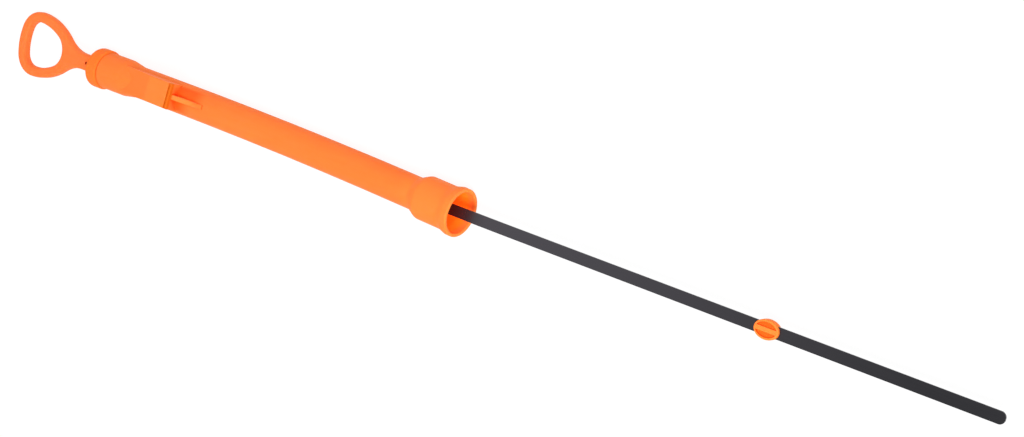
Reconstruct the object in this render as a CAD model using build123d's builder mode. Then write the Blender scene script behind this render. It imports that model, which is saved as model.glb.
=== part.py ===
from build123d import *
from math import asin, atan2, cos, degrees, hypot, radians, sin, sqrt, tan
import os

os.makedirs("parts", exist_ok=True)

# Engine oil dipstick seated in its bowed guide tube, lying on the floor with its finger loop leaning.
# Stations are millimetres along the upper axis, counted from the outer face of the handle's cap.

# Finger loop and stem, whose distances are counted from the cap towards the loop
loop_width = 36.6
loop_corner_radius = 13.3
loop_side_radius = 38.0
loop_end_radius = 34.0
loop_band = 5.6
loop_thickness = 5.6
loop_edge_radius = 1.7
loop_distance = 49.2
finger_end_radius = 9.6
stem_width = 8.9
stem_blend_radius = 21.5
stem_root = 2.0
tang_window_diameter = 1.8
tang_window_distance = 7.2

# Cap and plug
cap_diameter = 22.0
cap_length = 8.2
cap_crown_radius = 2.2
cap_roof = 4.0
skirt_wall = 1.7
skirt_clearance = 0.3
skirt_end_gap = 0.3
skirt_edge_radius = 1.2
plug_length = 23.0
plug_clearance = 0.4
plug_nose_chamfer = 1.6

# Seal rings in the plug's grooves
seal_section = 1.9
seal_clearance = 0.2
seal_seat_gap = 0.05
groove_side_gap = 0.15
seal_first_distance = 7.5
seal_pitch = 7.0

# Collar and tube
collar_diameter = 20.0
collar_wall = 2.2
collar_length = 15.7
collar_taper = 8.8
collar_blend_radius = 6.0
collar_edge_radius = 0.5
tube_diameter = 17.0
tube_wall = 1.5
bow_start = 60.2
bow_radius = 4050.0
bow_length = 165.0
bow_roll = 167.0

# Bell at the tube's lower end
bell_diameter = 22.6
bell_wall = 1.8
bell_length = 33.6
bell_neck = 5.2
bell_shoulder = 5.6
bell_blend_radius = 4.0
lip_diameter = 25.0
lip_wall = 1.7
lip_length = 3.4
lip_flare = 4.0
lip_edge_radius = 0.7

# Snap ramp on the tube: a steep lead, a flatter face, a groove before the crest, and a rib behind its cliff
ramp_crest = 67.7
ramp_height = 5.2
ramp_lead_height = 3.6
ramp_lead_angle = 12.5
ramp_face_length = 17.5
ramp_width = 14.0
ramp_edge_radius = 0.6
ramp_roll = 5.5
crest_land = 0.6
crest_groove_width = 1.4
crest_groove_depth = 0.9
rib_length = 20.0
rib_height = 3.4
rib_end_height = 0.5
rib_width = 2.6
rib_edge_radius = 0.5
rib_sink = 0.3

# Blade and its guide bead
blade_width = 5.8
blade_thickness = 1.0
blade_tip_radius = 2.6
blade_tip = 545.7
blade_bend_lead = 4.0
blade_settle = 30.0
tang_length = 11.0
tang_clearance = 0.05
bead_distance = 431.7
bead_length = 12.6
bead_width = 9.1
bead_thickness = 4.0
bead_edge_radius = 0.5
bead_rim = 1.0
bead_pocket_depth = 0.8
bead_rib_width = 2.1

# Sizes that follow from the ones above
skirt_bore = cap_diameter - 2 * skirt_wall
spigot_diameter = skirt_bore - 2 * skirt_clearance
collar_start = cap_length + skirt_end_gap
collar_end = collar_start + collar_length
tube_start = collar_end + collar_taper
tube_radius = tube_diameter / 2
collar_bore = collar_diameter - 2 * collar_wall
tube_bore = tube_diameter - 2 * tube_wall
bell_bore = bell_diameter - 2 * bell_wall
lip_bore = lip_diameter - 2 * lip_wall
plug_radius = collar_bore / 2 - plug_clearance
plug_end = cap_roof + plug_length
seal_ring_radius = collar_bore / 2 - seal_clearance - seal_section / 2
groove_radius = seal_ring_radius - seal_section / 2 - seal_seat_gap
groove_width = seal_section + 2 * groove_side_gap
flare_end = bell_length - lip_length
flare_start = flare_end - lip_flare
shoulder_end = bell_neck + bell_shoulder
seal_stations = [cap_roof + seal_first_distance + ring * seal_pitch for ring in range(2)]
crest_radius = tube_radius + ramp_height
ramp_kink = ramp_crest - ramp_face_length


def mirrored(point):
    """The same point on the other side of the axis."""
    return (point[0], -point[1])


# The loop is a rounded triangle of arcs: two corners, a bowed far end and bowed sides that run to the stem
corner_offset = loop_width / 2 - loop_corner_radius
side_offset = loop_side_radius - loop_width / 2
end_lead = loop_end_radius - loop_corner_radius
end_centre = sqrt(end_lead**2 - corner_offset**2) - loop_distance
corner_angle = degrees(asin(corner_offset / end_lead))
loop_far_end = end_centre - loop_end_radius
neck_angle = degrees(asin((side_offset + stem_width / 2) / loop_side_radius))
neck_corner = (loop_side_radius * cos(radians(neck_angle)) - loop_distance, stem_width / 2)
stem_corner = (stem_root, stem_width / 2)
finger_lead = loop_side_radius - loop_band - finger_end_radius
finger_angle = degrees(asin(side_offset / finger_lead))
finger_centre = finger_lead * cos(radians(finger_angle)) - loop_distance


def draw_loop_arcs(inset, side_angle):
    """Arcs of the loop, drawn inside its outline by an inset, with sides that end at an angle to the axis."""
    corner_radius = loop_corner_radius - inset
    side_radius = loop_side_radius - inset
    CenterArc((-loop_distance, corner_offset), corner_radius, 90, 90 - corner_angle)
    CenterArc((-loop_distance, -corner_offset), corner_radius, 180 + corner_angle, 90 - corner_angle)
    CenterArc((end_centre, 0), loop_end_radius - inset, 180 - corner_angle, 2 * corner_angle)
    CenterArc((-loop_distance, -side_offset), side_radius, side_angle, 90 - side_angle)
    CenterArc((-loop_distance, side_offset), side_radius, 270, 90 - side_angle)


def arc_point(station, radius, angle):
    """Point of the bow's plane on an arc that leaves the axis at a station and turns by an angle."""
    return (station + radius * sin(angle), radius * (1 - cos(angle)))


# The tube is straight as far as bow_start, then follows one wide arc to the bell
bow_angle = bow_length / bow_radius
bow_middle = arc_point(bow_start, bow_radius, bow_angle / 2)
bow_end = arc_point(bow_start, bow_radius, bow_angle)
mouth_station = bow_end[0] + bell_length * cos(bow_angle)
mouth_offset = bow_end[1] + bell_length * sin(bow_angle)

# The blade leaves the plug on its axis, then settles parallel to it through the middle of the mouth
bend_start = plug_end + blade_bend_lead
bend_run = (mouth_station + blade_settle - bend_start) / 2
bend_angle = 2 * atan2(mouth_offset / 2, bend_run)
bend_radius = bend_run / sin(bend_angle)
bend_middle = (bend_start + bend_run, mouth_offset / 2)
bend_end = (bend_start + 2 * bend_run, mouth_offset)
first_bow = arc_point(bend_start, bend_radius, bend_angle / 2)
second_bow = (2 * bend_middle[0] - first_bow[0], 2 * bend_middle[1] - first_bow[1])

# The cap, the bell's lip and one lobe of the loop rest on the floor: each pass brings all three closer
lip_station = bow_end[0] + flare_end * cos(bow_angle)
lip_offset = bow_end[1] + flare_end * sin(bow_angle)
lobe_reach = loop_width / 2 - loop_edge_radius
lobe_half_height = loop_thickness / 2 - loop_edge_radius
lean = 0.0
for settling_pass in range(12):
    lip_rise = lip_offset * sin(radians(bow_roll - lean))
    lay_slope = (cap_diameter / 2 - lip_diameter / 2 + lip_rise) / (lip_station - cap_length)
    lobe_height = cap_diameter / 2 + lay_slope * (cap_length + loop_distance) - loop_edge_radius
    lobe_turn = asin(lobe_height / hypot(lobe_reach, lobe_half_height))
    lean = degrees(lobe_turn - atan2(lobe_half_height, lobe_reach))

# Planes through the upper axis, with X towards the tip: upright, in the loop, in the bow, in the ramp
lay_angle = atan2(lay_slope, 1)
middle_station = (blade_tip + loop_far_end) / 2
axis_plane = Plane(
    origin=(-middle_station * cos(lay_angle), 0, cap_diameter / 2 + cap_length * lay_slope),
    x_dir=(cos(lay_angle), 0, -sin(lay_angle)),
    z_dir=(sin(lay_angle), 0, cos(lay_angle)),
)
upper_axis = Axis(axis_plane.origin, axis_plane.x_dir)


def turned(angle):
    """The upright plane turned about the upper axis by an angle."""
    return Plane(axis_plane.origin, axis_plane.x_dir, axis_plane.z_dir.rotate(upper_axis, angle))


loop_plane = turned(-lean)
bow_plane = turned(bow_roll - lean)
ramp_plane = turned(90 - ramp_roll - lean)

# The bell has its own axis, in line with the lower end of the bow
bell_direction = bow_plane.x_dir * cos(bow_angle) + bow_plane.y_dir * sin(bow_angle)
bell_plane = Plane(bow_plane.from_local_coords((*bow_end, 0)), bell_direction, bow_plane.z_dir)
bell_axis = Axis(bell_plane.origin, bell_plane.x_dir)
bead_centre = bow_plane.from_local_coords((bead_distance, mouth_offset, 0))


def across(station, offset=0.0):
    """Plane square to the upper axis, offset along the bow, with X across the width of the blade."""
    return Plane(bow_plane.from_local_coords((station, offset, 0)), loop_plane.y_dir, loop_plane.x_dir)


# Snap ramp that a bracket clicks over, with a low rib behind its cliff
ramp_up = Axis(ramp_plane.origin, ramp_plane.y_dir)
kink_radius = tube_radius + ramp_lead_height
ramp_foot = kink_radius - tan(radians(ramp_lead_angle)) * (ramp_kink - collar_end)
with BuildPart() as snap_ramp:
    with BuildSketch(ramp_plane):
        with BuildLine():
            Polyline(
                (collar_end, 0),
                (collar_end, ramp_foot),
                (ramp_kink, kink_radius),
                (ramp_crest, crest_radius),
                (ramp_crest, 0),
                close=True,
            )
        make_face()
    extrude(amount=ramp_width / 2, both=True)
    fillet(snap_ramp.faces().sort_by(ramp_up)[-1].edges(), ramp_edge_radius)
    with BuildSketch(ramp_plane):
        with Locations((ramp_crest - crest_land - crest_groove_width / 2, crest_radius)):
            Rectangle(crest_groove_width, 2 * crest_groove_depth)
    extrude(amount=ramp_width, both=True, mode=Mode.SUBTRACT)
    with BuildSketch(ramp_plane):
        with BuildLine():
            Polyline(
                (ramp_crest - rib_sink, 0),
                (ramp_crest - rib_sink, tube_radius + rib_height),
                (ramp_crest + rib_length, tube_radius + rib_end_height),
                (ramp_crest + rib_length, 0),
                close=True,
            )
        make_face()
    extrude(amount=rib_width / 2, both=True)
    rib_top = snap_ramp.faces(Select.LAST).sort_by(ramp_up)[-1]
    fillet(rib_top.edges().sort_by(SortBy.LENGTH)[-2:], rib_edge_radius)

# Guide tube: collar, bowed tube, bell and snap ramp in one moulding
with BuildPart() as guide_tube:
    with BuildSketch(axis_plane):
        with BuildLine():
            FilletPolyline(
                (cap_roof, 0),
                (cap_roof, spigot_diameter / 2),
                (collar_start, spigot_diameter / 2),
                (collar_start, collar_diameter / 2),
                (collar_end, collar_diameter / 2),
                (tube_start, tube_radius),
                (bow_start, tube_radius),
                (bow_start, 0),
                radius=[0, 0, 0, collar_edge_radius, collar_blend_radius, collar_blend_radius, 0, 0],
                close=True,
            )
        make_face()
    revolve(axis=upper_axis)
    add(snap_ramp.part)
    with BuildLine(bow_plane):
        ThreePointArc((bow_start, 0), bow_middle, bow_end)
    with BuildSketch(across(bow_start)):
        Circle(tube_radius)
    sweep()
    with BuildSketch(bell_plane):
        with BuildLine():
            FilletPolyline(
                (0, 0),
                (0, tube_radius),
                (bell_neck, tube_radius),
                (shoulder_end, bell_diameter / 2),
                (flare_start, bell_diameter / 2),
                (flare_end, lip_diameter / 2),
                (bell_length, lip_diameter / 2),
                (bell_length, 0),
                radius=[0, 0] + [bell_blend_radius] * 4 + [0, 0],
                close=True,
            )
        make_face()
    revolve(axis=bell_axis)
    with BuildSketch(axis_plane):
        with BuildLine():
            Polyline(
                (cap_roof, 0),
                (cap_roof, collar_bore / 2),
                (collar_end, collar_bore / 2),
                (tube_start, tube_bore / 2),
                (bow_start, tube_bore / 2),
                (bow_start, 0),
                close=True,
            )
        make_face()
    revolve(axis=upper_axis, mode=Mode.SUBTRACT)
    with BuildLine(bow_plane):
        ThreePointArc((bow_start, 0), bow_middle, bow_end)
    with BuildSketch(across(bow_start)):
        Circle(tube_bore / 2)
    sweep(mode=Mode.SUBTRACT)
    with BuildSketch(bell_plane):
        with BuildLine():
            Polyline(
                (0, 0),
                (0, tube_bore / 2),
                (bell_neck, tube_bore / 2),
                (shoulder_end, bell_bore / 2),
                (flare_start, bell_bore / 2),
                (bell_length, lip_bore / 2),
                (bell_length, 0),
                close=True,
            )
        make_face()
    revolve(axis=bell_axis, mode=Mode.SUBTRACT)
    lip_face = guide_tube.faces().filter_by(GeomType.PLANE).sort_by(bell_axis)[-1]
    fillet(lip_face.edges(), lip_edge_radius)
guide_tube.part.label = "guide_tube"
export_step(guide_tube.part, "parts/guide_tube.step")

# Pull handle: finger loop, stem, cap with its skirt, and the grooved plug, moulded round the blade's tang
with BuildPart() as pull_handle:
    with BuildSketch(loop_plane) as loop_outline:
        with BuildLine():
            draw_loop_arcs(0, neck_angle)
            Polyline(neck_corner, stem_corner, mirrored(stem_corner), mirrored(neck_corner))
        make_face()
        for neck in (neck_corner, mirrored(neck_corner)):
            fillet(loop_outline.vertices().sort_by_distance(neck)[0], stem_blend_radius)
        with BuildLine():
            draw_loop_arcs(loop_band, finger_angle)
            CenterArc((finger_centre, 0), finger_end_radius, -finger_angle, 2 * finger_angle)
        make_face(mode=Mode.SUBTRACT)
    extrude(amount=loop_thickness / 2, both=True)
    fillet(pull_handle.faces().filter_by(loop_plane).edges(), loop_edge_radius)
    with BuildSketch(axis_plane):
        with BuildLine():
            FilletPolyline(
                (0, 0),
                (0, cap_diameter / 2),
                (cap_length, cap_diameter / 2),
                (cap_length, skirt_bore / 2),
                (cap_roof, skirt_bore / 2),
                (cap_roof, plug_radius),
                (plug_end - plug_nose_chamfer, plug_radius),
                (plug_end, plug_radius - plug_nose_chamfer),
                (plug_end, 0),
                radius=[0, cap_crown_radius, skirt_edge_radius, 0, 0, 0, 0, 0, 0],
                close=True,
            )
        make_face()
    revolve(axis=upper_axis)
    with BuildSketch(axis_plane):
        with Locations(*[(station, groove_radius) for station in seal_stations]):
            Rectangle(groove_width, collar_bore / 2 - groove_radius, align=(Align.CENTER, Align.MIN))
    revolve(axis=upper_axis, mode=Mode.SUBTRACT)
    with BuildSketch(across(-tang_length - tang_clearance)):
        Rectangle(blade_width + 2 * tang_clearance, blade_thickness + 2 * tang_clearance)
    extrude(amount=tang_length + tang_clearance + plug_end, mode=Mode.SUBTRACT)
    with BuildSketch(loop_plane):
        with Locations((-tang_window_distance, 0)):
            Circle(tang_window_diameter / 2)
    extrude(amount=loop_thickness, both=True, mode=Mode.SUBTRACT)
pull_handle.part.label = "pull_handle"
export_step(pull_handle.part, "parts/pull_handle.step")

# Seal rings, one in each groove of the plug
for node, station in zip(("upper_seal_ring", "lower_seal_ring"), seal_stations):
    with BuildPart() as seal_ring:
        with BuildSketch(axis_plane):
            with Locations((station, seal_ring_radius)):
                Circle(seal_section / 2)
        revolve(axis=upper_axis)
    seal_ring.part.label = node
    export_step(seal_ring.part, f"parts/{node}.step")

# Blade: a flat strip from the tang in the stem to the rounded tip
with BuildPart() as blade:
    with BuildLine(bow_plane):
        Line((-tang_length, 0), (bend_start, 0))
        ThreePointArc((bend_start, 0), first_bow, bend_middle)
        ThreePointArc(bend_middle, second_bow, bend_end)
        Line(bend_end, (blade_tip, mouth_offset))
    with BuildSketch(across(-tang_length)):
        Rectangle(blade_width, blade_thickness)
    sweep()
    tip_corners = blade.faces().sort_by(upper_axis)[-1].edges().sort_by(SortBy.LENGTH)[:2]
    fillet(tip_corners, blade_tip_radius)
blade.part.label = "blade"
export_step(blade.part, "parts/blade.step")

# Guide bead: an oval moulded round the blade, with a rim and a lengthwise rib round the pockets of each face
with BuildPart() as guide_bead:
    bead_plane = Plane(bead_centre, loop_plane.x_dir, loop_plane.z_dir)
    with BuildSketch(bead_plane):
        Ellipse(bead_length / 2, bead_width / 2)
    extrude(amount=bead_thickness / 2, both=True)
    fillet(guide_bead.faces().filter_by(loop_plane).edges(), bead_edge_radius)
    for side in (1, -1):
        with BuildSketch(bead_plane.offset(side * bead_thickness / 2)):
            Ellipse(bead_length / 2 - bead_rim, bead_width / 2 - bead_rim)
            Rectangle(bead_length, bead_rib_width, mode=Mode.SUBTRACT)
        extrude(amount=-side * bead_pocket_depth, mode=Mode.SUBTRACT)
    with BuildSketch(across(bead_distance, mouth_offset)):
        Rectangle(blade_width + 2 * tang_clearance, blade_thickness + 2 * tang_clearance)
    extrude(amount=bead_length, both=True, mode=Mode.SUBTRACT)
guide_bead.part.label = "guide_bead"
export_step(guide_bead.part, "parts/guide_bead.step")
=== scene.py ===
import logging
import math
from dataclasses import dataclass, field
from enum import Enum
from typing import Any

import bpy
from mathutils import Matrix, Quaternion, Vector


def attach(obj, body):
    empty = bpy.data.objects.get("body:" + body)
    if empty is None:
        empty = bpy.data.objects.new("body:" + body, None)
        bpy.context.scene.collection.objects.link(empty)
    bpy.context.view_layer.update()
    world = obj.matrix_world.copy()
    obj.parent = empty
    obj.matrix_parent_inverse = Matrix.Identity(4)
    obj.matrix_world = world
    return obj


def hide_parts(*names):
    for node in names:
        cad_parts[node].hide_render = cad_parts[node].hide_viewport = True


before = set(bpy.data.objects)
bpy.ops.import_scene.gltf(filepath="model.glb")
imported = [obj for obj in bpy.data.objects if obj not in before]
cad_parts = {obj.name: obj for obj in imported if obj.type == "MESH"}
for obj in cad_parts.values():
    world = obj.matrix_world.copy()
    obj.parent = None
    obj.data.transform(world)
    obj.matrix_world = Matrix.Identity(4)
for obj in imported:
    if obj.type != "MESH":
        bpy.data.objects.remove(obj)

log = logging.getLogger("dipstick")

Tree = bpy.types.NodeTree
Node = bpy.types.Node
Socket = bpy.types.NodeSocket
Triple = tuple[float, float, float]
Span = tuple[float, float]  # the value where a share is 0 and the value where it is 1

# The straight line of cap, plug and collar, from the cap's start towards the bell, in metres.
AXIS_ORIGIN: Triple = (-0.24128755, 0.0, 0.011057735)
AXIS: Triple = (0.999975, 0.0, -0.007041)
# Directions across that line: of the tube's bow, the strip's face and edge, and the ramp.
BOW: Triple = (0.004969, -0.708434, 0.70576)
STRIP_FACE: Triple = (0.005978, 0.528325, 0.849021)
STRIP_SIDE: Triple = (-0.00372, 0.849042, -0.528312)
RAMP_UP: Triple = (0.005594, 0.60727, 0.794476)
RAMP_SIDE: Triple = (0.004276, -0.794496, 0.607255)

NOISE_BODY: Span = (0.3, 0.7)  # where most of a noise lies
WHITE = (1.0, 1.0, 1.0, 1.0)


class Body(str, Enum):
    """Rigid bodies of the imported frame."""

    GUIDE = "guide"
    DIPSTICK = "dipstick"


class Slot(str, Enum):
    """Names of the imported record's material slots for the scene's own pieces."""

    TUBE = "orange_plastic"
    BLADE = "blade_steel"
    SEAL = "seal_rubber"


def add_node(
    tree: Tree, kind: str, inputs: dict[str | int, Any] | None = None, **attributes: Any
) -> Node:
    """Add a node to a tree, set its attributes and set or link its inputs.

    Args:
        tree: Shader or geometry node tree.
        kind: Blender's identifier of the node type.
        inputs: Input name or number to a value, or to a socket that is linked to it.
        attributes: Attributes of the node that are set first.

    Returns:
        The new node.
    """
    made = tree.nodes.new(kind)
    for name, value in attributes.items():
        setattr(made, name, value)
    for key, value in (inputs or {}).items():
        if isinstance(value, Socket):
            tree.links.new(value, made.inputs[key])
        else:
            made.inputs[key].default_value = value
    return made


def even_share(tree: Tree, value: Socket, span: Span, to: Span = (0.0, 1.0)) -> Socket:
    """Give a value that runs evenly between two bounds and stays at them beyond.

    Args:
        tree: Shader node tree.
        value: The value that is measured.
        span: Measured values that give the first and the second bound.
        to: The two bounds.

    Returns:
        The result's socket.
    """
    return add_node(
        tree,
        "ShaderNodeMapRange",
        {
            "Value": value,
            "From Min": span[0],
            "From Max": span[1],
            "To Min": to[0],
            "To Max": to[1],
        },
    ).outputs["Result"]


def smooth_share(tree: Tree, value: Socket, span: Span) -> Socket:
    """Give a share that runs smoothly from 0 to 1.

    Args:
        tree: Shader node tree.
        value: The value that is measured.
        span: Measured values that give 0 and 1.

    Returns:
        The share's socket.
    """
    return add_node(
        tree,
        "ShaderNodeMapRange",
        {"Value": value, "From Min": span[0], "From Max": span[1]},
        interpolation_type="SMOOTHSTEP",
    ).outputs["Result"]


def combined(tree: Tree, operation: str, first: Socket, second: Socket | float = 0.0) -> Socket:
    """Join two values by one operation of a Math node and give the result's socket."""
    return add_node(
        tree, "ShaderNodeMath", {0: first, 1: second}, operation=operation
    ).outputs["Value"]


def product(tree: Tree, first: Socket, *others: Socket | float) -> Socket:
    """Multiply values.

    Args:
        tree: Shader node tree.
        first: The first value.
        others: What it is multiplied by, in turn.

    Returns:
        The result's socket.
    """
    result = first
    for other in others:
        result = combined(tree, "MULTIPLY", result, other)
    return result


def vector_math(
    tree: Tree, operation: str, first: Socket, second: Triple = (0.0, 0.0, 0.0)
) -> Node:
    """Add a Vector Math node between a socket and a fixed vector."""
    return add_node(tree, "ShaderNodeVectorMath", {0: first, 1: second}, operation=operation)


def offset_from(tree: Tree, place: Socket, origin: Triple) -> Socket:
    """Give the socket of the offset from a fixed point."""
    return vector_math(tree, "SUBTRACT", place, origin).outputs["Vector"]


def reach_along(tree: Tree, offset: Socket, direction: Triple) -> Socket:
    """Give the socket of an offset's reach along a direction."""
    return vector_math(tree, "DOT_PRODUCT", offset, direction).outputs["Value"]


def lengthwise(tree: Tree, place: Socket) -> Socket:
    """Give the socket of a place's or an offset's part along the object."""
    return add_node(tree, "ShaderNodeSeparateXYZ", {"Vector": place}).outputs["X"]


def stretched(tree: Tree, place: Socket, stretch: float) -> Socket:
    """Give coordinates that draw a pattern out along the object."""
    return add_node(
        tree, "ShaderNodeMapping", {"Vector": place, "Scale": (stretch, 1.0, 1.0)}
    ).outputs["Vector"]


def noise(
    tree: Tree, place: Socket, per_metre: float, detail: float, roughness: float = 0.5
) -> Socket:
    """Give a noise, 0 to 1.

    Args:
        tree: Shader node tree.
        place: Coordinates, in metres.
        per_metre: Its cells per metre.
        detail: Its layers of finer noise.
        roughness: Weight of each finer layer.

    Returns:
        The noise's socket.
    """
    return add_node(
        tree,
        "ShaderNodeTexNoise",
        {"Vector": place, "Scale": per_metre, "Detail": detail, "Roughness": roughness},
    ).outputs["Fac"]


def tinted(tree: Tree, share: Socket, under: Socket | Triple, over: Triple) -> Socket:
    """Lay one colour over another by a share.

    Args:
        tree: Shader node tree.
        share: Share of the upper colour, 0 to 1.
        under: Colour or socket underneath.
        over: Colour on top.

    Returns:
        The mixed colour's socket.
    """
    base = under if isinstance(under, Socket) else (*under, 1.0)
    return add_node(
        tree, "ShaderNodeMix", {"Factor": share, 6: base, 7: (*over, 1.0)}, data_type="RGBA"
    ).outputs[2]


def add_relief(tree: Tree, shader: Node, height: Socket, depth: float, strength: float) -> None:
    """Raise a fine relief on a shader's surface.

    Args:
        tree: Shader node tree.
        shader: The Principled shader.
        height: The relief's height, 0 to 1.
        depth: Metres that a height of 1 stands for.
        strength: Share of the relief that shows.
    """
    normal = add_node(
        tree, "ShaderNodeBump", {"Height": height, "Distance": depth, "Strength": strength}
    ).outputs["Normal"]
    tree.links.new(normal, shader.inputs["Normal"])


@dataclass(frozen=True)
class Finish:
    """Base of the finishes: a named material with one Principled shader."""

    name: str

    def material(self) -> bpy.types.Material:
        """Make the material with its nodes, once for each finish.

        Returns:
            The new material, or the one made before.
        """
        existing = bpy.data.materials.get(self.name)
        if existing is not None:
            return existing
        made = bpy.data.materials.new(self.name)
        log.info("finish %s made", made.name)
        made.use_nodes = True
        tree = made.node_tree
        tree.nodes.clear()
        shader = add_node(tree, "ShaderNodeBsdfPrincipled")
        add_node(tree, "ShaderNodeOutputMaterial", {"Surface": shader.outputs["BSDF"]})
        place = add_node(tree, "ShaderNodeTexCoord").outputs["Object"]
        self.dress(tree, shader, place)
        return made

    def dress(self, tree: Tree, shader: Node, place: Socket) -> None:
        """Add the finish's own nodes.

        Args:
            tree: The material's node tree.
            shader: Its Principled shader.
            place: Object coordinates, in metres.
        """
        raise NotImplementedError


@dataclass(frozen=True)
class MouldedPlastic(Finish):
    """Satin engine-bay plastic: colour drift, flow streaks, painted shade in recesses and holes,
    and a fine grain.
    """

    colour: Triple
    flow_colour: Triple
    # Painted shade: the next two colours stand for the shade in recesses and in holes.
    recess_shade_colour: Triple
    hole_shade_colour: Triple
    roughness: float
    gloss: float = 0.045
    gloss_drift: float = 0.05
    drift_per_metre: float = 22.0
    drift_detail: float = 2.0
    streaks_per_metre: float = 420.0
    streak_detail: float = 3.0
    streak_roughness: float = 0.6
    streak_stretch: float = 0.045
    flow_share: Span = (0.12, 0.42)
    recess_reach: float = 0.007
    recess_samples: int = 16
    recess_openness: Span = (0.85, 0.4)
    hole_openness: Span = (0.4, 0.15)
    grain_per_metre: float = 2600.0
    grain_detail: float = 2.0
    grain_height: float = 0.000012
    grain_strength: float = 0.6
    glow_share: float = 0.25
    glow_depth: float = 0.001
    glow_reach: Triple = (1.0, 0.3, 0.06)

    def dress(self, tree: Tree, shader: Node, place: Socket) -> None:
        """Add the drift, the streaks, the painted shade in recesses and holes, the grain and the
        glow under the surface.

        Args:
            tree: The material's node tree.
            shader: Its Principled shader.
            place: Object coordinates, in metres.
        """
        drawn_out = stretched(tree, place, self.streak_stretch)
        streaks = noise(
            tree, drawn_out, self.streaks_per_metre, self.streak_detail, self.streak_roughness
        )
        drift = noise(tree, place, self.drift_per_metre, self.drift_detail)
        flow = even_share(tree, product(tree, streaks, drift), self.flow_share)
        colour = self.zones(tree, place, tinted(tree, flow, self.colour, self.flow_colour))
        # Painted shade: where ambient occlusion finds little open space, the colour turns deeper
        # and darker.
        openness = add_node(
            tree,
            "ShaderNodeAmbientOcclusion",
            {"Distance": self.recess_reach},
            samples=self.recess_samples,
            only_local=True,
        ).outputs["AO"]
        recess_shade = smooth_share(tree, openness, self.recess_openness)
        hole_shade = smooth_share(tree, openness, self.hole_openness)
        recess_shaded = tinted(tree, recess_shade, colour, self.recess_shade_colour)
        shaded = tinted(tree, hole_shade, recess_shaded, self.hole_shade_colour)
        tree.links.new(self.lining(tree, shader, place, shaded), shader.inputs["Base Color"])

        bounds = (self.roughness - self.gloss_drift, self.roughness + self.gloss_drift)
        tree.links.new(even_share(tree, drift, NOISE_BODY, bounds), shader.inputs["Roughness"])
        shader.inputs["Specular IOR Level"].default_value = self.gloss
        grain = noise(tree, place, self.grain_per_metre, self.grain_detail)
        add_relief(tree, shader, grain, self.grain_height, self.grain_strength)
        shader.inputs["Subsurface Weight"].default_value = self.glow_share
        shader.inputs["Subsurface Radius"].default_value = self.glow_reach
        shader.inputs["Subsurface Scale"].default_value = self.glow_depth

    def zones(self, tree: Tree, place: Socket, colour: Socket) -> Socket:
        """Give the colour as it is: a plain moulding has no zones of another tone."""
        return colour

    def lining(self, tree: Tree, shader: Node, place: Socket, colour: Socket) -> Socket:
        """Give the colour as it is: a plain moulding shows no inner walls."""
        return colour


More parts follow.
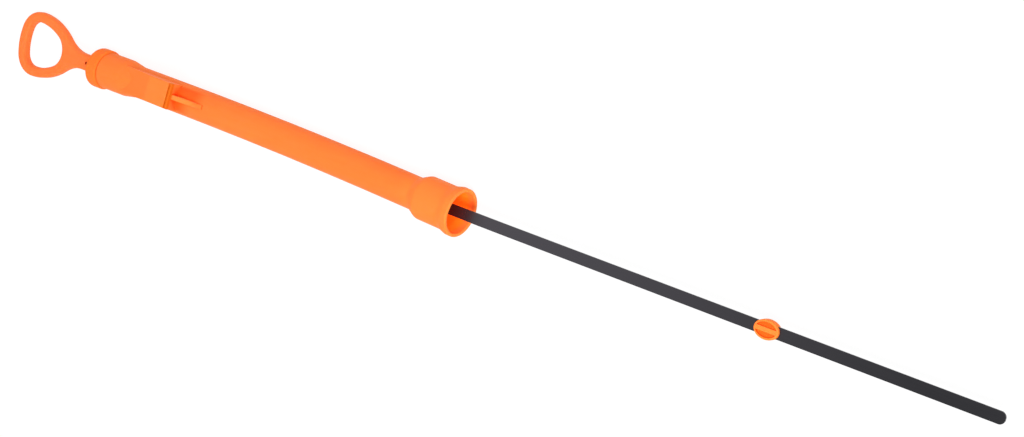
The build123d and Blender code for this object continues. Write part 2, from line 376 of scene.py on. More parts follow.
@dataclass(frozen=True)
class TubePlastic(MouldedPlastic):
    """The guide tube's plastic: painted highlights make it paler at the bell, on the snap ramp's
    face and along its rib; painted shade lies in the crest's stripe and the pockets beside the rib,
    and painted light inside the bell.
    """

    # Painted highlight: a paler tone on the bell and on the ramp's face stands for the light they
    # catch.
    highlight_colour: Triple = (0.96, 0.198, 0.036)
    bell_along: Span = (-0.02, -0.01)

    crest: Triple = (-0.173513, 0.00832, 0.021465)
    before_crest: Span = (0.0001, -0.0001)
    after_crest: Span = (0.0004, 0.0009)
    face_height: Span = (-0.00195, -0.00165)

    # Painted highlight: the rib's top is paler where it catches the light.
    rib_highlight_colour: Triple = (0.97, 0.222, 0.042)
    rib_along: Span = (0.018, 0.011)
    rib_side: Span = (0.00155, 0.00135)
    rib_height: Span = (-0.0049, -0.0044)

    # Painted shade: a deep red tone in the pockets behind the ramp's cliff, beside the rib.
    pocket_shade_colour: Triple = (0.93, 0.108, 0.011)
    pocket_along: Span = (0.021, 0.011)
    pocket_side: Span = (0.0085, 0.0065)
    pocket_height: Span = (-0.0095, -0.0075)
    near_side: Span = (-0.0005, 0.0005)
    near_pocket_cut: float = 0.009

    # Painted shade: a dark stripe along the ramp's crest.
    stripe_shade_colour: Triple = (0.64, 0.13, 0.0075)
    stripe_front: Span = (-0.0023, -0.002)
    stripe_back: Span = (0.0006, 0.0004)
    stripe_height: Span = (-0.0026, -0.002)

    bell_mouth: Triple = (0.017456, -0.00335, 0.012574)
    bell_axis: Triple = (0.999348, -0.028854, 0.02171)
    # Painted light: inside the bell, a brighter, redder tone and a glow stand for light through the
    # thin wall and bouncing inside.
    inner_light_colour: Triple = (0.98, 0.185, 0.011)
    inner_radius: Span = (0.0105, 0.0099)
    inner_front: Span = (-0.001, -0.003)
    inner_back: Span = (-0.026, -0.022)
    inner_glow_colour: Triple = (1.0, 0.09, 0.003)
    inner_glow: float = 0.6
    # Painted highlight on the bell's rim.
    rim_highlight_colour: Triple = (0.98, 0.225, 0.042)
    rim_along: Span = (-0.0011, -0.0004)

    def zones(self, tree: Tree, place: Socket, colour: Socket) -> Socket:
        """Lay the painted highlights on the ramp's face, the bell and the rib, and the painted
        shade of the pockets beside the rib, over the colour.

        Args:
            tree: The material's node tree.
            place: Object coordinates, in metres.
            colour: The plain colour's socket.

        Returns:
            The colour's socket with all zones laid over it.
        """
        offset = offset_from(tree, place, self.crest)
        along = lengthwise(tree, offset)
        height = reach_along(tree, offset, RAMP_UP)
        side = reach_along(tree, offset, RAMP_SIDE)
        side_distance = combined(tree, "ABSOLUTE", side)
        behind = smooth_share(tree, along, self.after_crest)

        # Painted shade in the pockets behind the cliff, fading away from it.
        near = smooth_share(tree, side, self.near_side)
        pocket_along = combined(tree, "ADD", along, product(tree, near, self.near_pocket_cut))
        pocket_shade = product(
            tree,
            behind,
            smooth_share(tree, pocket_along, self.pocket_along),
            smooth_share(tree, side_distance, self.pocket_side),
            smooth_share(tree, height, self.pocket_height),
        )
        face = product(
            tree,
            smooth_share(tree, along, self.before_crest),
            smooth_share(tree, height, self.face_height),
        )
        bell = smooth_share(tree, lengthwise(tree, place), self.bell_along)
        # Painted highlight on the rib's top, fading along it.
        rib = product(
            tree,
            behind,
            smooth_share(tree, along, self.rib_along),
            smooth_share(tree, side_distance, self.rib_side),
            smooth_share(tree, height, self.rib_height),
        )
        # Painted shade laid in the pockets.
        pocket_shaded = tinted(tree, pocket_shade, colour, self.pocket_shade_colour)
        # Painted highlight on the ramp's face and the bell.
        highlighted = tinted(tree, combined(tree, "MAXIMUM", face, bell), pocket_shaded, self.highlight_colour)
        return tinted(tree, rib, highlighted, self.rib_highlight_colour)

    def lining(self, tree: Tree, shader: Node, place: Socket, colour: Socket) -> Socket:
        """Lay the painted shade of the crest's stripe, the painted light on the bell's inner walls
        and the painted highlight on its rim over the colour.

        Args:
            tree: The material's node tree.
            shader: The Principled shader; its emission stands for light through the thin wall.
            place: Object coordinates, in metres.
            colour: The colour's socket with the painted shade of all recesses.

        Returns:
            The colour's socket with all of them laid over it.
        """
        from_crest = offset_from(tree, place, self.crest)
        crest_along = lengthwise(tree, from_crest)
        # Painted shade in the crest's stripe.
        stripe = product(
            tree,
            smooth_share(tree, crest_along, self.stripe_front),
            smooth_share(tree, crest_along, self.stripe_back),
            smooth_share(tree, reach_along(tree, from_crest, RAMP_UP), self.stripe_height),
        )
        stripe_shaded = tinted(tree, stripe, colour, self.stripe_shade_colour)

        from_mouth = offset_from(tree, place, self.bell_mouth)
        along = reach_along(tree, from_mouth, self.bell_axis)
        turned = vector_math(tree, "CROSS_PRODUCT", from_mouth, self.bell_axis).outputs["Vector"]
        radius = vector_math(tree, "LENGTH", turned).outputs["Value"]
        inside = product(
            tree,
            smooth_share(tree, radius, self.inner_radius),
            smooth_share(tree, along, self.inner_front),
            smooth_share(tree, along, self.inner_back),
        )
        # Painted glow: emission on the bell's inner walls, though the tube is no lamp.
        shader.inputs["Emission Color"].default_value = (*self.inner_glow_colour, 1.0)
        glow = product(tree, inside, self.inner_glow)
        tree.links.new(glow, shader.inputs["Emission Strength"])
        lit_inside = tinted(tree, inside, stripe_shaded, self.inner_light_colour)
        # Painted highlight on the bell's rim.
        return tinted(tree, smooth_share(tree, along, self.rim_along), lit_inside, self.rim_highlight_colour)


@dataclass(frozen=True)
class HandlePlastic(MouldedPlastic):
    """The handle's plastic: deeper on the cap than on the loop."""

    cap_colour: Triple = (0.93, 0.166, 0.022)
    cap_along: Span = (-0.242, -0.2408)

    def zones(self, tree: Tree, place: Socket, colour: Socket) -> Socket:
        """Lay the cap's tone over the colour."""
        cap = smooth_share(tree, lengthwise(tree, place), self.cap_along)
        return tinted(tree, cap, colour, self.cap_colour)


@dataclass(frozen=True)
class BeadPlastic(MouldedPlastic):
    """The bead's plastic: painted shade, a deeper tone, on the floors of its pockets."""

    # Painted shade on the floors of the pockets.
    pocket_shade_colour: Triple = (0.9, 0.115, 0.009)
    centre: Triple = (0.19043, -0.00335, 0.01136)
    pocket_half_length: float = 0.0053
    pocket_half_width: float = 0.00355
    pocket_edge: Span = (1.06, 0.96)
    beside_rib: Span = (0.00095, 0.00125)

    def zones(self, tree: Tree, place: Socket, colour: Socket) -> Socket:
        """Lay the painted shade of the oval pockets, a deeper tone left and right of the rib, over
        the colour.

        Args:
            tree: The material's node tree.
            place: Object coordinates, in metres.
            colour: The plain colour's socket.

        Returns:
            The colour's socket with the pockets' painted shade laid over it.
        """
        offset = offset_from(tree, place, self.centre)
        side = reach_along(tree, offset, STRIP_SIDE)
        across = combined(tree, "DIVIDE", side, self.pocket_half_width)
        along = combined(tree, "DIVIDE", lengthwise(tree, offset), self.pocket_half_length)
        oval = combined(tree, "ADD", product(tree, across, across), product(tree, along, along))
        # Painted shade inside the oval, beside the rib.
        pocket_shade = product(
            tree,
            smooth_share(tree, oval, self.pocket_edge),
            smooth_share(tree, combined(tree, "ABSOLUTE", side), self.beside_rib),
        )
        return tinted(tree, pocket_shade, colour, self.pocket_shade_colour)


@dataclass(frozen=True)
class CoatedSteel(Finish):
    """Dark satin strip: rolling lines along its length, and a painted reflection that makes it
    paler where it leaves the guide.
    """

    colour: Triple
    worn_colour: Triple
    reflection_colour: Triple
    roughness: float
    gloss: float = 0.44
    roughness_drift: Span = (-0.04, 0.05)
    lines_per_metre: float = 3200.0
    line_detail: float = 4.0
    line_roughness: float = 0.65
    line_stretch: float = 0.012
    line_height: float = 0.000006
    line_strength: float = 0.5
    patches_per_metre: float = 60.0
    patch_detail: float = 3.0
    worn_share: Span = (0.15, 0.45)
    # Painted reflection: paler just outside the guide's mouth, fading out towards the tip.
    reflection_start: Span = (0.012, 0.034)
    reflection_end: Span = (0.27, 0.034)

    def dress(self, tree: Tree, shader: Node, place: Socket) -> None:
        """Add the rolling lines, the worn patches and the stretch of painted reflection.

        Args:
            tree: The material's node tree.
            shader: Its Principled shader.
            place: Object coordinates, in metres.
        """
        drawn_out = stretched(tree, place, self.line_stretch)
        lines = noise(tree, drawn_out, self.lines_per_metre, self.line_detail, self.line_roughness)
        patches = noise(tree, place, self.patches_per_metre, self.patch_detail)
        worn = even_share(tree, product(tree, lines, patches), self.worn_share)
        colour = tinted(tree, worn, self.colour, self.worn_colour)
        # Painted reflection along the strip, paler near the guide.
        along = lengthwise(tree, place)
        reflection = product(
            tree,
            even_share(tree, along, self.reflection_end),
            smooth_share(tree, along, self.reflection_start),
        )
        reflected = tinted(tree, reflection, colour, self.reflection_colour)
        tree.links.new(reflected, shader.inputs["Base Color"])

        bounds = tuple(self.roughness + drift for drift in self.roughness_drift)
        tree.links.new(even_share(tree, lines, NOISE_BODY, bounds), shader.inputs["Roughness"])
        shader.inputs["Specular IOR Level"].default_value = self.gloss
        add_relief(tree, shader, lines, self.line_height, self.line_strength)


@dataclass(frozen=True)
class SealRubber(Finish):
    """Black rubber with a fine dusty bloom."""

    colour: Triple
    bloom_colour: Triple
    roughness: float
    bloom_per_metre: float = 900.0
    bloom_detail: float = 4.0
    bloom_height: float = 0.00001
    bloom_strength: float = 0.5

    def dress(self, tree: Tree, shader: Node, place: Socket) -> None:
        """Add the bloom and its grain.

        Args:
            tree: The material's node tree.
            shader: Its Principled shader.
            place: Object coordinates, in metres.
        """
        bloom = noise(tree, place, self.bloom_per_metre, self.bloom_detail)
        colour = tinted(tree, bloom, self.colour, self.bloom_colour)
        tree.links.new(colour, shader.inputs["Base Color"])
        add_relief(tree, shader, bloom, self.bloom_height, self.bloom_strength)
        shader.inputs["Roughness"].default_value = self.roughness


TUBE_PLASTIC = TubePlastic(
    "tube_moulding",
    colour=(0.93, 0.174, 0.031),
    flow_colour=(0.96, 0.188, 0.036),
    recess_shade_colour=(0.93, 0.098, 0.008),
    hole_shade_colour=(0.8, 0.065, 0.004),
    roughness=0.5,
)
BEAD_PLASTIC = BeadPlastic(
    "bead_moulding",
    colour=(0.95, 0.205, 0.033),
    flow_colour=(0.96, 0.215, 0.036),
    recess_shade_colour=(0.9, 0.115, 0.009),
    hole_shade_colour=(0.8, 0.07, 0.005),
    roughness=0.5,
    recess_reach=0.002,
    glow_share=0.15,
)
HANDLE_PLASTIC = HandlePlastic(
    "handle_moulding",
    colour=(0.93, 0.164, 0.036),
    flow_colour=(0.95, 0.177, 0.042),
    recess_shade_colour=(0.93, 0.09, 0.01),
    hole_shade_colour=(0.12, 0.003, 0.001),
    roughness=0.5,
)
BLADE_STEEL = CoatedSteel(
    "blade_coating",
    colour=(0.0035, 0.0033, 0.0058),
    worn_colour=(0.0065, 0.006, 0.0085),
    reflection_colour=(0.034, 0.031, 0.038),
    roughness=0.22,
)
SEAL_RUBBER = SealRubber(
    "seal_moulding",
    colour=(0.012, 0.012, 0.012),
    bloom_colour=(0.03, 0.03, 0.03),
    roughness=0.55,
)


def dress_node(node: str, finish: Finish) -> None:
    """Give a CAD node its finish.

    Args:
        node: Name of the node in the frame.
        finish: The finish for all of its surface.
    """
    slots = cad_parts[node].data.materials
    slots.clear()
    slots.append(finish.material())
    log.info("%s dressed in %s", node, finish.name)


class Input(str, Enum):
    """Kinds of named inputs on a shape tree."""

    NUMBER = "NodeSocketFloat"
    COUNT = "NodeSocketInt"
    VECTOR = "NodeSocketVector"
    OBJECT = "NodeSocketObject"
    MATERIAL = "NodeSocketMaterial"


class ShapeTree:
    """A Geometry Nodes tree with named inputs, grown into one plain mesh."""

    def __init__(self, name: str, inputs: dict[str, tuple[Input, Any]]) -> None:
        """Start the tree.

        Args:
            name: Name of the tree.
            inputs: Name of each input to its kind and value.
        """
        self.name = name
        self.values = {label: value for label, (_, value) in inputs.items()}
        self.tree = bpy.data.node_groups.new(name, "GeometryNodeTree")
        sockets = self.tree.interface
        for label, (kind, _) in inputs.items():
            sockets.new_socket(label, in_out="INPUT", socket_type=kind.value)
        sockets.new_socket("Geometry", in_out="OUTPUT", socket_type="NodeSocketGeometry")
        self.entry = self.tree.nodes.new("NodeGroupInput")

    def value(self, label: str) -> Socket:
        """Give the socket of a named input."""
        return self.entry.outputs[label]

    def add(self, kind: str, inputs: dict[str | int, Any] | None = None, **attributes: Any) -> Node:
        """Add a node to the tree, as add_node does."""
        return add_node(self.tree, kind, inputs, **attributes)

    def math(self, operation: str, first: Any, second: Any = 0.0, third: Any = 0.0) -> Socket:
        """Add a Math node and give its result."""
        inputs = {0: first, 1: second, 2: third}
        return self.add("ShaderNodeMath", inputs, operation=operation).outputs[0]

    def share(
        self, value: Any, low: Any, high: Any, to_low: Any = 0.0, to_high: Any = 1.0
    ) -> Socket:
        """Add a clamped Map Range and give its result."""
        return self.add(
            "ShaderNodeMapRange",
            {
                "Value": value,
                "From Min": low,
                "From Max": high,
                "To Min": to_low,
                "To Max": to_high,
            },
        ).outputs["Result"]

    def vector(self, operation: str, first: Any, second: Any) -> Node:
        """Add a Vector Math node."""
        return self.add("ShaderNodeVectorMath", {0: first, 1: second}, operation=operation)

    def scaled(self, vector: Any, amount: Any) -> Socket:
        """Add a vector scaled by an amount and give its result."""
        inputs = {0: vector, "Scale": amount}
        return self.add("ShaderNodeVectorMath", inputs, operation="SCALE").outputs["Vector"]

    def moved(self, start: Any, direction: Any, amount: Any) -> Socket:
        """Add a point moved along a direction by an amount and give its result."""
        return self.vector("ADD", start, self.scaled(direction, amount)).outputs["Vector"]

    def circle(self, steps: Any, radius: Any) -> Socket:
        """Add a round curve and give it."""
        inputs = {"Resolution": steps, "Radius": radius}
        return self.add("GeometryNodeCurvePrimitiveCircle", inputs).outputs["Curve"]

    def swept(self, path: Socket, section: Socket, capped: bool) -> Socket:
        """Sweep a section along a path and give the mesh."""
        inputs = {"Curve": path, "Profile Curve": section, "Fill Caps": capped}
        return self.add("GeometryNodeCurveToMesh", inputs).outputs["Mesh"]

    def shaded(self, geometry: Socket, smooth: bool) -> Socket:
        """Shade a mesh smooth or flat and give it."""
        inputs = {"Geometry": geometry, "Shade Smooth": smooth}
        return self.add("GeometryNodeSetShadeSmooth", inputs).outputs["Geometry"]

    def stored(self, geometry: Socket, name: str, value: Socket, kind: str) -> Socket:
        """Store a value on a shape's points and give the shape."""
        return self.add(
            "GeometryNodeStoreNamedAttribute",
            {"Geometry": geometry, "Name": name, "Value": value},
            data_type=kind,
            domain="POINT",
        ).outputs["Geometry"]

    def recalled(self, name: str, kind: str) -> Socket:
        """Give the socket of a stored value."""
        return self.add(
            "GeometryNodeInputNamedAttribute", {"Name": name}, data_type=kind
        ).outputs["Attribute"]

    def close(self, geometry: Socket) -> None:
        """Realize the shape, set its material and end the tree.

        Args:
            geometry: Socket of the finished shape.
        """
        real = self.add("GeometryNodeRealizeInstances", {"Geometry": geometry}).outputs["Geometry"]
        painted = self.add(
            "GeometryNodeSetMaterial", {"Geometry": real, "Material": self.value("Material")}
        ).outputs["Geometry"]
        self.add("NodeGroupOutput", {"Geometry": painted})

    def grow(self, piece: str, body: Body, slot: Slot, *nodes: str) -> bpy.types.Object:
        """Turn the tree's result into a plain mesh that rides on a body.

        Args:
            piece: Name of the piece.
            body: Body that carries it.
            slot: Record's slot that its finish belongs to; not used.
            nodes: CAD nodes that the piece replaces.

        Returns:
            The piece.
        """
        made = bpy.data.objects.new(piece, bpy.data.meshes.new(piece))
        bpy.context.scene.collection.objects.link(made)
        modifier = made.modifiers.new(self.name, "NODES")
        modifier.node_group = self.tree
        for socket in self.tree.interface.items_tree:
            if socket.item_type == "SOCKET" and socket.in_out == "INPUT":
                modifier[socket.identifier] = self.values[socket.name]
        depsgraph = bpy.context.evaluated_depsgraph_get()
        evaluated = made.evaluated_get(depsgraph)
        mesh = bpy.data.meshes.new_from_object(evaluated, depsgraph=depsgraph)
        made.modifiers.remove(modifier)
        made.data = mesh
        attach(made, body.value)
        if nodes:
            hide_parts(*nodes)
        log.info("%s: %d faces on %s", piece, len(mesh.polygons), body.value)
        return made


@dataclass
class MeasuringBlade:
    """The thin strip: from the slot in the handle through the bowed tube to its rounded tip."""

    finish: Finish = BLADE_STEEL
    start: float = -0.011
    tip: float = 0.5457
    width: float = 0.0058
    thickness: float = 0.001
    edge_radius: float = 0.00022
    edge_steps: int = 4
    tip_radius: float = 0.0026
    bend_start: float = 0.031
    bend_end: float = 0.288726
    rise: float = 0.004729
    runs: int = 240
    tip_runs: int = 12

    def build(self) -> None:
        """Sweep the rounded strip along its double bend and round its tip."""
        tree = ShapeTree(
            "strip_shape",
            {
                "Origin": (Input.VECTOR, AXIS_ORIGIN),
                "Axis": (Input.VECTOR, AXIS),
                "Bow": (Input.VECTOR, BOW),
                "Face": (Input.VECTOR, STRIP_FACE),
                "Side": (Input.VECTOR, STRIP_SIDE),
                "Start": (Input.NUMBER, self.start),
                "Tip": (Input.NUMBER, self.tip),
                "Width": (Input.NUMBER, self.width),
                "Thickness": (Input.NUMBER, self.thickness),
                "Edge Radius": (Input.NUMBER, self.edge_radius),
                "Edge Steps": (Input.COUNT, self.edge_steps),
                "Tip Radius": (Input.NUMBER, self.tip_radius),
                "Bend Start": (Input.NUMBER, self.bend_start),
                "Bend End": (Input.NUMBER, self.bend_end),
                "Rise": (Input.NUMBER, self.rise),
                "Runs": (Input.COUNT, self.runs),
                "Tip Runs": (Input.COUNT, self.tip_runs),
                "Material": (Input.MATERIAL, self.finish.material()),
            },
        )
        station, width_share = self.stations(tree)
        count = tree.math("ADD", tree.math("ADD", tree.value("Runs"), tree.value("Tip Runs")), 1.0)
        line = tree.add("GeometryNodeMeshLine", {"Count": count}).outputs["Mesh"]
        placed = tree.add(
            "GeometryNodeSetPosition", {"Geometry": line, "Position": self.middle(tree, station)}
        ).outputs["Geometry"]
        place = tree.add("GeometryNodeInputPosition").outputs["Position"]
        kept = tree.stored(placed, "width_share", width_share, "FLOAT")
        centred = tree.stored(kept, "middle", place, "FLOAT_VECTOR")
        path = tree.add("GeometryNodeMeshToCurve", {"Mesh": centred}).outputs["Curve"]
        held = tree.add(
            "GeometryNodeSetCurveNormal", {"Curve": path, "Normal": tree.value("Face")}, mode="FREE"
        ).outputs["Curve"]
        outline = tree.add(
            "GeometryNodeCurvePrimitiveQuadrilateral",
            {"Width": tree.value("Thickness"), "Height": tree.value("Width")},
        ).outputs["Curve"]
        rounded = tree.add(
            "GeometryNodeFilletCurve",
            {
                "Curve": outline,
                "Radius": tree.value("Edge Radius"),
                "Count": tree.value("Edge Steps"),
            },
            mode="POLY",
        ).outputs["Curve"]
        shape = self.tipped(tree, tree.swept(held, rounded, capped=True))
        for name in ("width_share", "middle"):
            shape = tree.add(
                "GeometryNodeRemoveAttribute", {"Geometry": shape, "Name": name}
            ).outputs["Geometry"]
        tree.close(tree.shaded(shape, smooth=False))
        tree.grow("blade_strip", Body.DIPSTICK, Slot.BLADE, "blade")

    def stations(self, tree: ShapeTree) -> tuple[Socket, Socket]:
        """Space the strip's cross-sections, closer and narrower round the tip.

        Args:
            tree: The strip's tree.

        Returns:
            The sockets of a section's distance along the axis and of its share of the width.
        """
        runs, radius = tree.value("Runs"), tree.value("Tip Radius")
        index = tree.add("GeometryNodeInputIndex").outputs["Index"]
        tip_share = tree.share(tree.math("SUBTRACT", index, runs), 0.0, tree.value("Tip Runs"))
        turn = tree.math("MULTIPLY", tip_share, math.pi / 2.0)
        straight_end = tree.math("SUBTRACT", tree.value("Tip"), radius)
        straight = tree.share(index, 0.0, runs, tree.value("Start"), straight_end)
        station = tree.math("MULTIPLY_ADD", tree.math("SINE", turn), radius, straight)
        narrowing = tree.math("SUBTRACT", 1.0, tree.math("COSINE", turn))
        width_cut = tree.math("MULTIPLY", radius, narrowing)
        half_width = tree.math("MULTIPLY", tree.value("Width"), 0.5)
        width_share = tree.math("SUBTRACT", 1.0, tree.math("DIVIDE", width_cut, half_width))
        return station, width_share

    def middle(self, tree: ShapeTree, station: Socket) -> Socket:
        """Follow the double bend: two parabolas that meet halfway.

        Args:
            tree: The strip's tree.
            station: Socket of a section's distance along the axis.

        Returns:
            The socket of the section's middle.
        """
        bend = tree.share(station, tree.value("Bend Start"), tree.value("Bend End"))
        first_half = tree.math("MINIMUM", bend, 0.5)
        second_half = tree.math("SUBTRACT", tree.math("MAXIMUM", bend, 0.5), 0.5)
        rising = tree.math("MULTIPLY", tree.math("MULTIPLY", first_half, first_half), 2.0)
        left_over = tree.math("SUBTRACT", 1.0, second_half)
        settling = tree.math("MULTIPLY", tree.math("MULTIPLY", second_half, left_over), 2.0)
        offset = tree.math("MULTIPLY", tree.math("ADD", rising, settling), tree.value("Rise"))
        along = tree.moved(tree.value("Origin"), tree.value("Axis"), station)
        return tree.moved(along, tree.value("Bow"), offset)

    def tipped(self, tree: ShapeTree, strip: Socket) -> Socket:
        """Draw the sides in to each section's share of the width.

        Args:
            tree: The strip's tree.
            strip: Socket of the strip, as wide at its tip as elsewhere.

        Returns:
            The socket of the strip with its rounded tip.
        """
        side = tree.value("Side")
        place = tree.add("GeometryNodeInputPosition").outputs["Position"]
        middle = tree.recalled("middle", "FLOAT_VECTOR")
        from_middle = tree.vector("SUBTRACT", place, middle).outputs["Vector"]
        sideways = tree.vector("DOT_PRODUCT", from_middle, side).outputs["Value"]
        change = tree.math("SUBTRACT", tree.recalled("width_share", "FLOAT"), 1.0)
        pull = tree.math("MULTIPLY", sideways, change)
        return tree.add(
            "GeometryNodeSetPosition", {"Geometry": strip, "Offset": tree.scaled(side, pull)}
        ).outputs["Geometry"]


@dataclass
class SealRings:
    """Two rubber rings in the plug's grooves."""

    finish: Finish = SEAL_RUBBER
    first_station: float = 0.0115
    pitch: float = 0.007
    ring_count: int = 2
    ring_radius: float = 0.00665
    section_radius: float = 0.00095
    ring_steps: int = 96
    section_steps: int = 20

    def build(self) -> None:
        """Repeat one round ring along the plug's axis."""
        first = tuple(o + a * self.first_station for o, a in zip(AXIS_ORIGIN, AXIS))
        tree = ShapeTree(
            "ring_row",
            {
                "First": (Input.VECTOR, first),
                "Step": (Input.VECTOR, tuple(a * self.pitch for a in AXIS)),
                "Axis": (Input.VECTOR, AXIS),
                "Rings": (Input.COUNT, self.ring_count),
                "Ring Radius": (Input.NUMBER, self.ring_radius),
                "Section Radius": (Input.NUMBER, self.section_radius),
                "Ring Steps": (Input.COUNT, self.ring_steps),
                "Section Steps": (Input.COUNT, self.section_steps),
                "Material": (Input.MATERIAL, self.finish.material()),
            },
        )
        row = tree.add(
            "GeometryNodeMeshLine",
            {
                "Count": tree.value("Rings"),
                "Start Location": tree.value("First"),
                "Offset": tree.value("Step"),
            },
        ).outputs["Mesh"]
        path = tree.circle(tree.value("Ring Steps"), tree.value("Ring Radius"))
        section = tree.circle(tree.value("Section Steps"), tree.value("Section Radius"))
        ring = tree.shaded(tree.swept(path, section, capped=False), smooth=True)
        turned = tree.add(
            "FunctionNodeAlignRotationToVector", {"Vector": tree.value("Axis")}, axis="Z"
        ).outputs["Rotation"]
        rings = tree.add(
            "GeometryNodeInstanceOnPoints", {"Points": row, "Instance": ring, "Rotation": turned}
        ).outputs["Instances"]
        tree.close(rings)
        tree.grow("seal_rings", Body.DIPSTICK, Slot.SEAL, "upper_seal_ring", "lower_seal_ring")


@dataclass
class GuideTube:
    """The orange tube with its collar, snap ramp and bell, and the mould's two parting lines."""

    finish: Finish = TUBE_PLASTIC
    seam_start: float = 0.0095
    seam_end: float = 0.2575
    seam_steps: int = 320
    seam_radius: float = 0.00022
    seam_section_steps: int = 8
    seam_sink: float = 0.0001
    seam_side: Triple = RAMP_SIDE
    ray_start: float = 0.03

    def build(self) -> None:
        """Dress the tube and lay both parting lines on its surface."""
        dress_node("guide_tube", self.finish)
        for name, sign in (("parting_line_upper", 1.0), ("parting_line_lower", -1.0)):
            self.parting_line(name, tuple(sign * part for part in self.seam_side))

    def parting_line(self, name: str, side: tuple[float, ...]) -> None:
        """Lay a thin raised line along one side of the tube, found on its surface by rays.

        Args:
            name: Name of the piece.
            side: Direction from the axis to the line.
        """
        tree = ShapeTree(
            f"{name}_shape",
            {
                "Tube": (Input.OBJECT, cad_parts["guide_tube"]),
                "Origin": (Input.VECTOR, AXIS_ORIGIN),
                "Axis": (Input.VECTOR, AXIS),
                "Side": (Input.VECTOR, side),
                "Start": (Input.NUMBER, self.seam_start),
                "End": (Input.NUMBER, self.seam_end),
                "Steps": (Input.COUNT, self.seam_steps),
                "Ray Start": (Input.NUMBER, self.ray_start),
                "Radius": (Input.NUMBER, self.seam_radius),
                "Section Steps": (Input.COUNT, self.seam_section_steps),
                "Sink": (Input.NUMBER, self.seam_sink),
                "Material": (Input.MATERIAL, self.finish.material()),
            },
        )
        steps, ray_start = tree.value("Steps"), tree.value("Ray Start")
        count = tree.math("ADD", steps, 1.0)
        line = tree.add("GeometryNodeMeshLine", {"Count": count}).outputs["Mesh"]
        index = tree.add("GeometryNodeInputIndex").outputs["Index"]
        station = tree.share(index, 0.0, steps, tree.value("Start"), tree.value("End"))
        along = tree.moved(tree.value("Origin"), tree.value("Axis"), station)
        tube = tree.add(
            "GeometryNodeObjectInfo", {"Object": tree.value("Tube")}, transform_space="RELATIVE"
        ).outputs["Geometry"]
        hit = tree.add(
            "GeometryNodeRaycast",
            {
                "Target Geometry": tube,
                "Source Position": tree.moved(along, tree.value("Side"), ray_start),
                "Ray Direction": tree.scaled(tree.value("Side"), -1.0),
                "Ray Length": ray_start,
            },
        )
        sunk = tree.math("MULTIPLY", tree.value("Sink"), -1.0)
        placed = tree.add(
            "GeometryNodeSetPosition",
            {
                "Geometry": line,
                "Position": hit.outputs["Hit Position"],
                "Offset": tree.scaled(hit.outputs["Hit Normal"], sunk),
            },
        ).outputs["Geometry"]
        path = tree.add("GeometryNodeMeshToCurve", {"Mesh": placed}).outputs["Curve"]
        section = tree.circle(tree.value("Section Steps"), tree.value("Radius"))
        tree.close(tree.shaded(tree.swept(path, section, capped=True), smooth=True))
        tree.grow(name, Body.GUIDE, Slot.TUBE)


@dataclass
class PullHandle:
    """The loop, its stem, the cap and the plug, moulded in one."""

    finish: Finish = HANDLE_PLASTIC

    def build(self) -> None:
        """Dress the handle."""
        dress_node("pull_handle", self.finish)


@dataclass
class GuideBead:
    """The ribbed bead that keeps the strip in the middle of the pipe."""

    finish: Finish = BEAD_PLASTIC

    def build(self) -> None:
        """Dress the bead."""
        dress_node("guide_bead", self.finish)


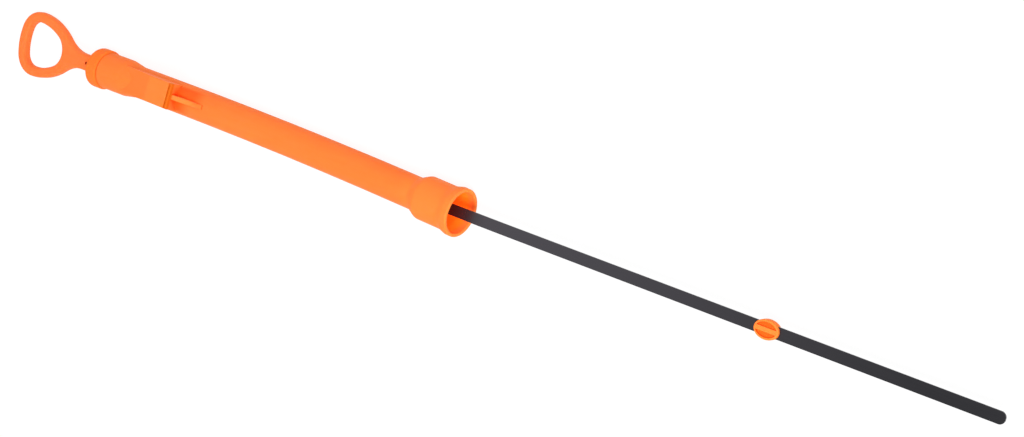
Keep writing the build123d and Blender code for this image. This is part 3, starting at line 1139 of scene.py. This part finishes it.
@dataclass
class Studio:
    """Floor, soft light and the camera at the photograph's viewing angle."""

    floor_half: float = 6.0
    floor_colour: Triple = (0.06, 0.06, 0.06)
    floor_roughness: float = 0.9
    floor_glow: float = 0.93
    world_strength: float = 0.75
    key_energy: float = 25.0
    key_size: float = 0.9
    key_distance: float = 1.6
    key_direction: Vector = field(default_factory=lambda: Vector((0.505, 0.265, 0.82)))
    camera_place: Vector = field(default_factory=lambda: Vector((0.566066, 0.587365, 0.59412)))
    camera_aim: Vector = field(default_factory=lambda: Vector((0.049275, 0.005293, 0.0121)))
    camera_roll: float = -131.134
    camera_lens: float = 71.795
    sensor_width: float = 36.0
    clip_start: float = 0.01

    def build(self) -> None:
        """Make the floor, the world, the light and the camera."""
        self.floor()
        self.light()
        self.camera()

    def floor(self) -> None:
        """Make the plain pale floor."""
        half = self.floor_half
        corners = [(-half, -half, 0), (half, -half, 0), (half, half, 0), (-half, half, 0)]
        mesh = bpy.data.meshes.new("floor")
        mesh.from_pydata(corners, [], [(0, 1, 2, 3)])
        floor = bpy.data.objects.new("floor", mesh)
        bpy.context.scene.collection.objects.link(floor)
        paint = bpy.data.materials.new("pale_floor")
        paint.use_nodes = True
        shader = paint.node_tree.nodes["Principled BSDF"]
        shader.inputs["Base Color"].default_value = (*self.floor_colour, 1.0)
        shader.inputs["Roughness"].default_value = self.floor_roughness
        shader.inputs["Emission Color"].default_value = WHITE
        shader.inputs["Emission Strength"].default_value = self.floor_glow
        mesh.materials.append(paint)

    def light(self) -> None:
        """Make the even world and one large soft key light."""
        scene = bpy.context.scene
        world = bpy.data.worlds.new("studio")
        scene.world = world
        world.use_nodes = True
        background = world.node_tree.nodes["Background"]
        background.inputs["Strength"].default_value = self.world_strength
        background.inputs["Color"].default_value = WHITE
        key = bpy.data.lights.new("key", "AREA")
        key.shape = "DISK"
        key.size = self.key_size
        key.energy = self.key_energy
        lamp = bpy.data.objects.new("key", key)
        direction = self.key_direction.normalized()
        lamp.location = direction * self.key_distance
        lamp.rotation_mode = "QUATERNION"
        lamp.rotation_quaternion = direction.to_track_quat("Z", "Y")
        scene.collection.objects.link(lamp)
        scene.view_settings.view_transform = "Standard"

    def camera(self) -> None:
        """Make the camera, rolled so that the object runs down to the right."""
        data = bpy.data.cameras.new("camera")
        data.lens = self.camera_lens
        data.sensor_width = self.sensor_width
        data.clip_start = self.clip_start
        camera = bpy.data.objects.new("camera", data)
        camera.location = self.camera_place
        look = (self.camera_aim - self.camera_place).to_track_quat("-Z", "Y")
        roll = Quaternion((0.0, 0.0, 1.0), math.radians(self.camera_roll))
        camera.rotation_mode = "QUATERNION"
        camera.rotation_quaternion = look @ roll
        bpy.context.scene.collection.objects.link(camera)
        bpy.context.scene.camera = camera


def main() -> None:
    """Dress the dipstick and set it in the studio."""
    logging.basicConfig(level=logging.INFO)
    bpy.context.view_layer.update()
    for assembly in (GuideTube(), PullHandle(), SealRings(), MeasuringBlade(), GuideBead()):
        log.info("building %s", type(assembly).__name__)
        assembly.build()
    Studio().build()


if __name__ == "__main__":
    main()
